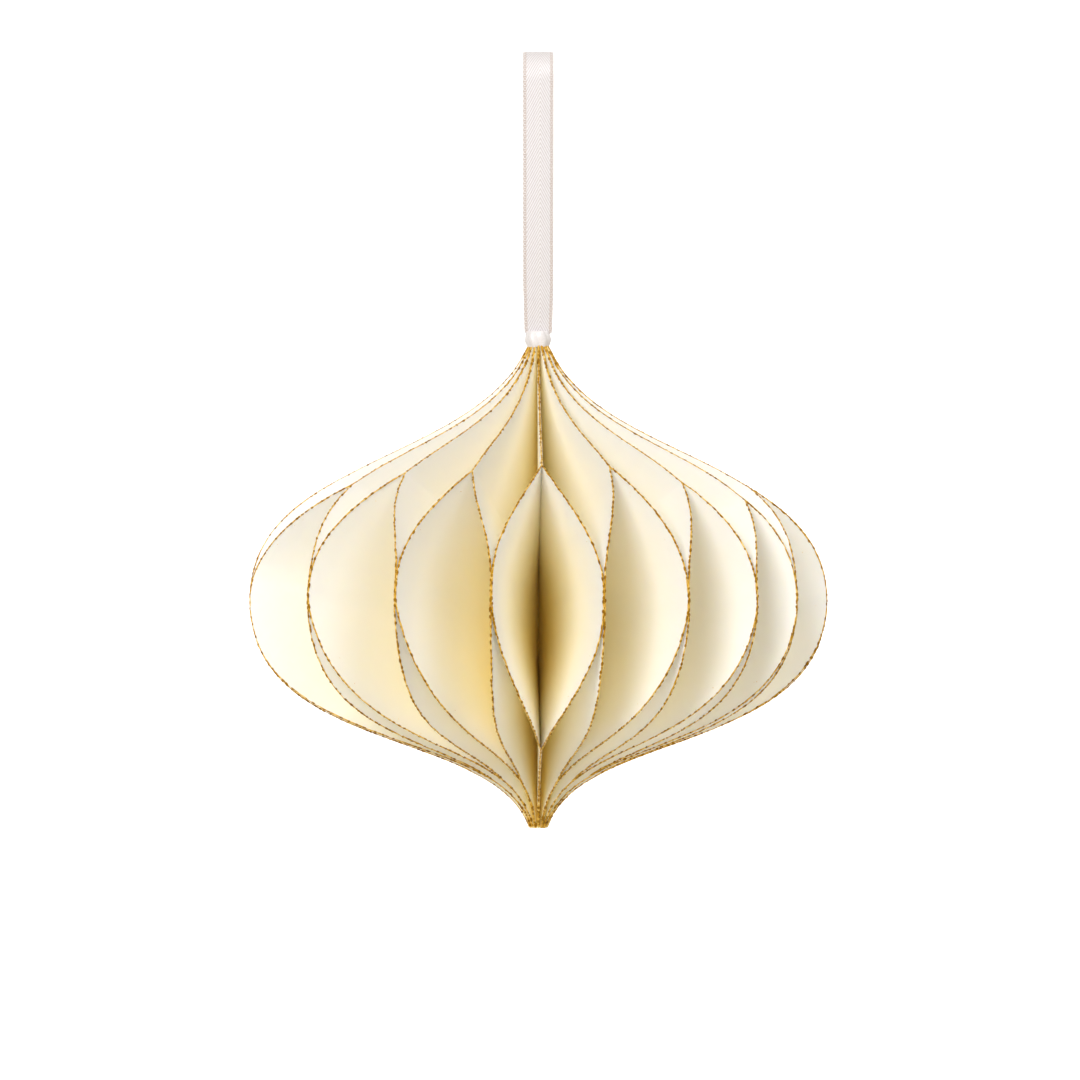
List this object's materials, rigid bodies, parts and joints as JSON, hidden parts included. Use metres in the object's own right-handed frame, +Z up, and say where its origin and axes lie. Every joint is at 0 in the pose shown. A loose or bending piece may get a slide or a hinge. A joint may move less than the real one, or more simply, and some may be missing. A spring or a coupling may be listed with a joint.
{
  "type": "honeycomb paper ornament",
  "caption": "Onion-shaped hanging ornament of twin card leaves fanned round a spine, with glitter-edged rims, a ribbon knot and a ribbon hanging loop.",
  "frame": {"origin": "hanging point: inside of the bend at the top of the ribbon loop, where it bears on a hook", "axes": "+Z up along the spine, -Y towards the viewer of the picture, +X to the viewer's right"},
  "size_m": [0.1134, 0.1127, 0.154],
  "materials": {
    "card": "smooth ivory pearl card with gold glitter along the rim",
    "ribbon": "white satin ribbon, herringbone twill with looped edges",
    "glitter": "fine gold glitter glued along each leaf's rim"
  },
  "bodies": {
    "root": {"leaf_01": "card", "leaf_02": "card", "leaf_03": "card", "leaf_04": "card", "leaf_05": "card", "leaf_06": "card", "leaf_07": "card", "leaf_08": "card", "leaf_09": "card", "leaf_10": "card", "leaf_11": "card", "leaf_12": "card", "leaf_13": "card", "leaf_14": "card", "leaf_15": "card", "leaf_16": "card", "leaf_17": "card", "leaf_18": "card", "leaf_19": "card", "leaf_20": "card", "leaf_21": "card", "leaf_22": "card", "leaf_23": "card", "leaf_24": "card", "leaf_25": "card", "leaf_26": "card", "leaf_27": "card", "leaf_28": "card", "leaf_29": "card", "leaf_30": "card", "leaf_31": "card", "leaf_32": "card", "leaf_33": "card", "leaf_34": "card", "leaf_35": "card", "leaf_36": "card", "hanger_ribbon": "ribbon"}
  },
  "joints": []
}
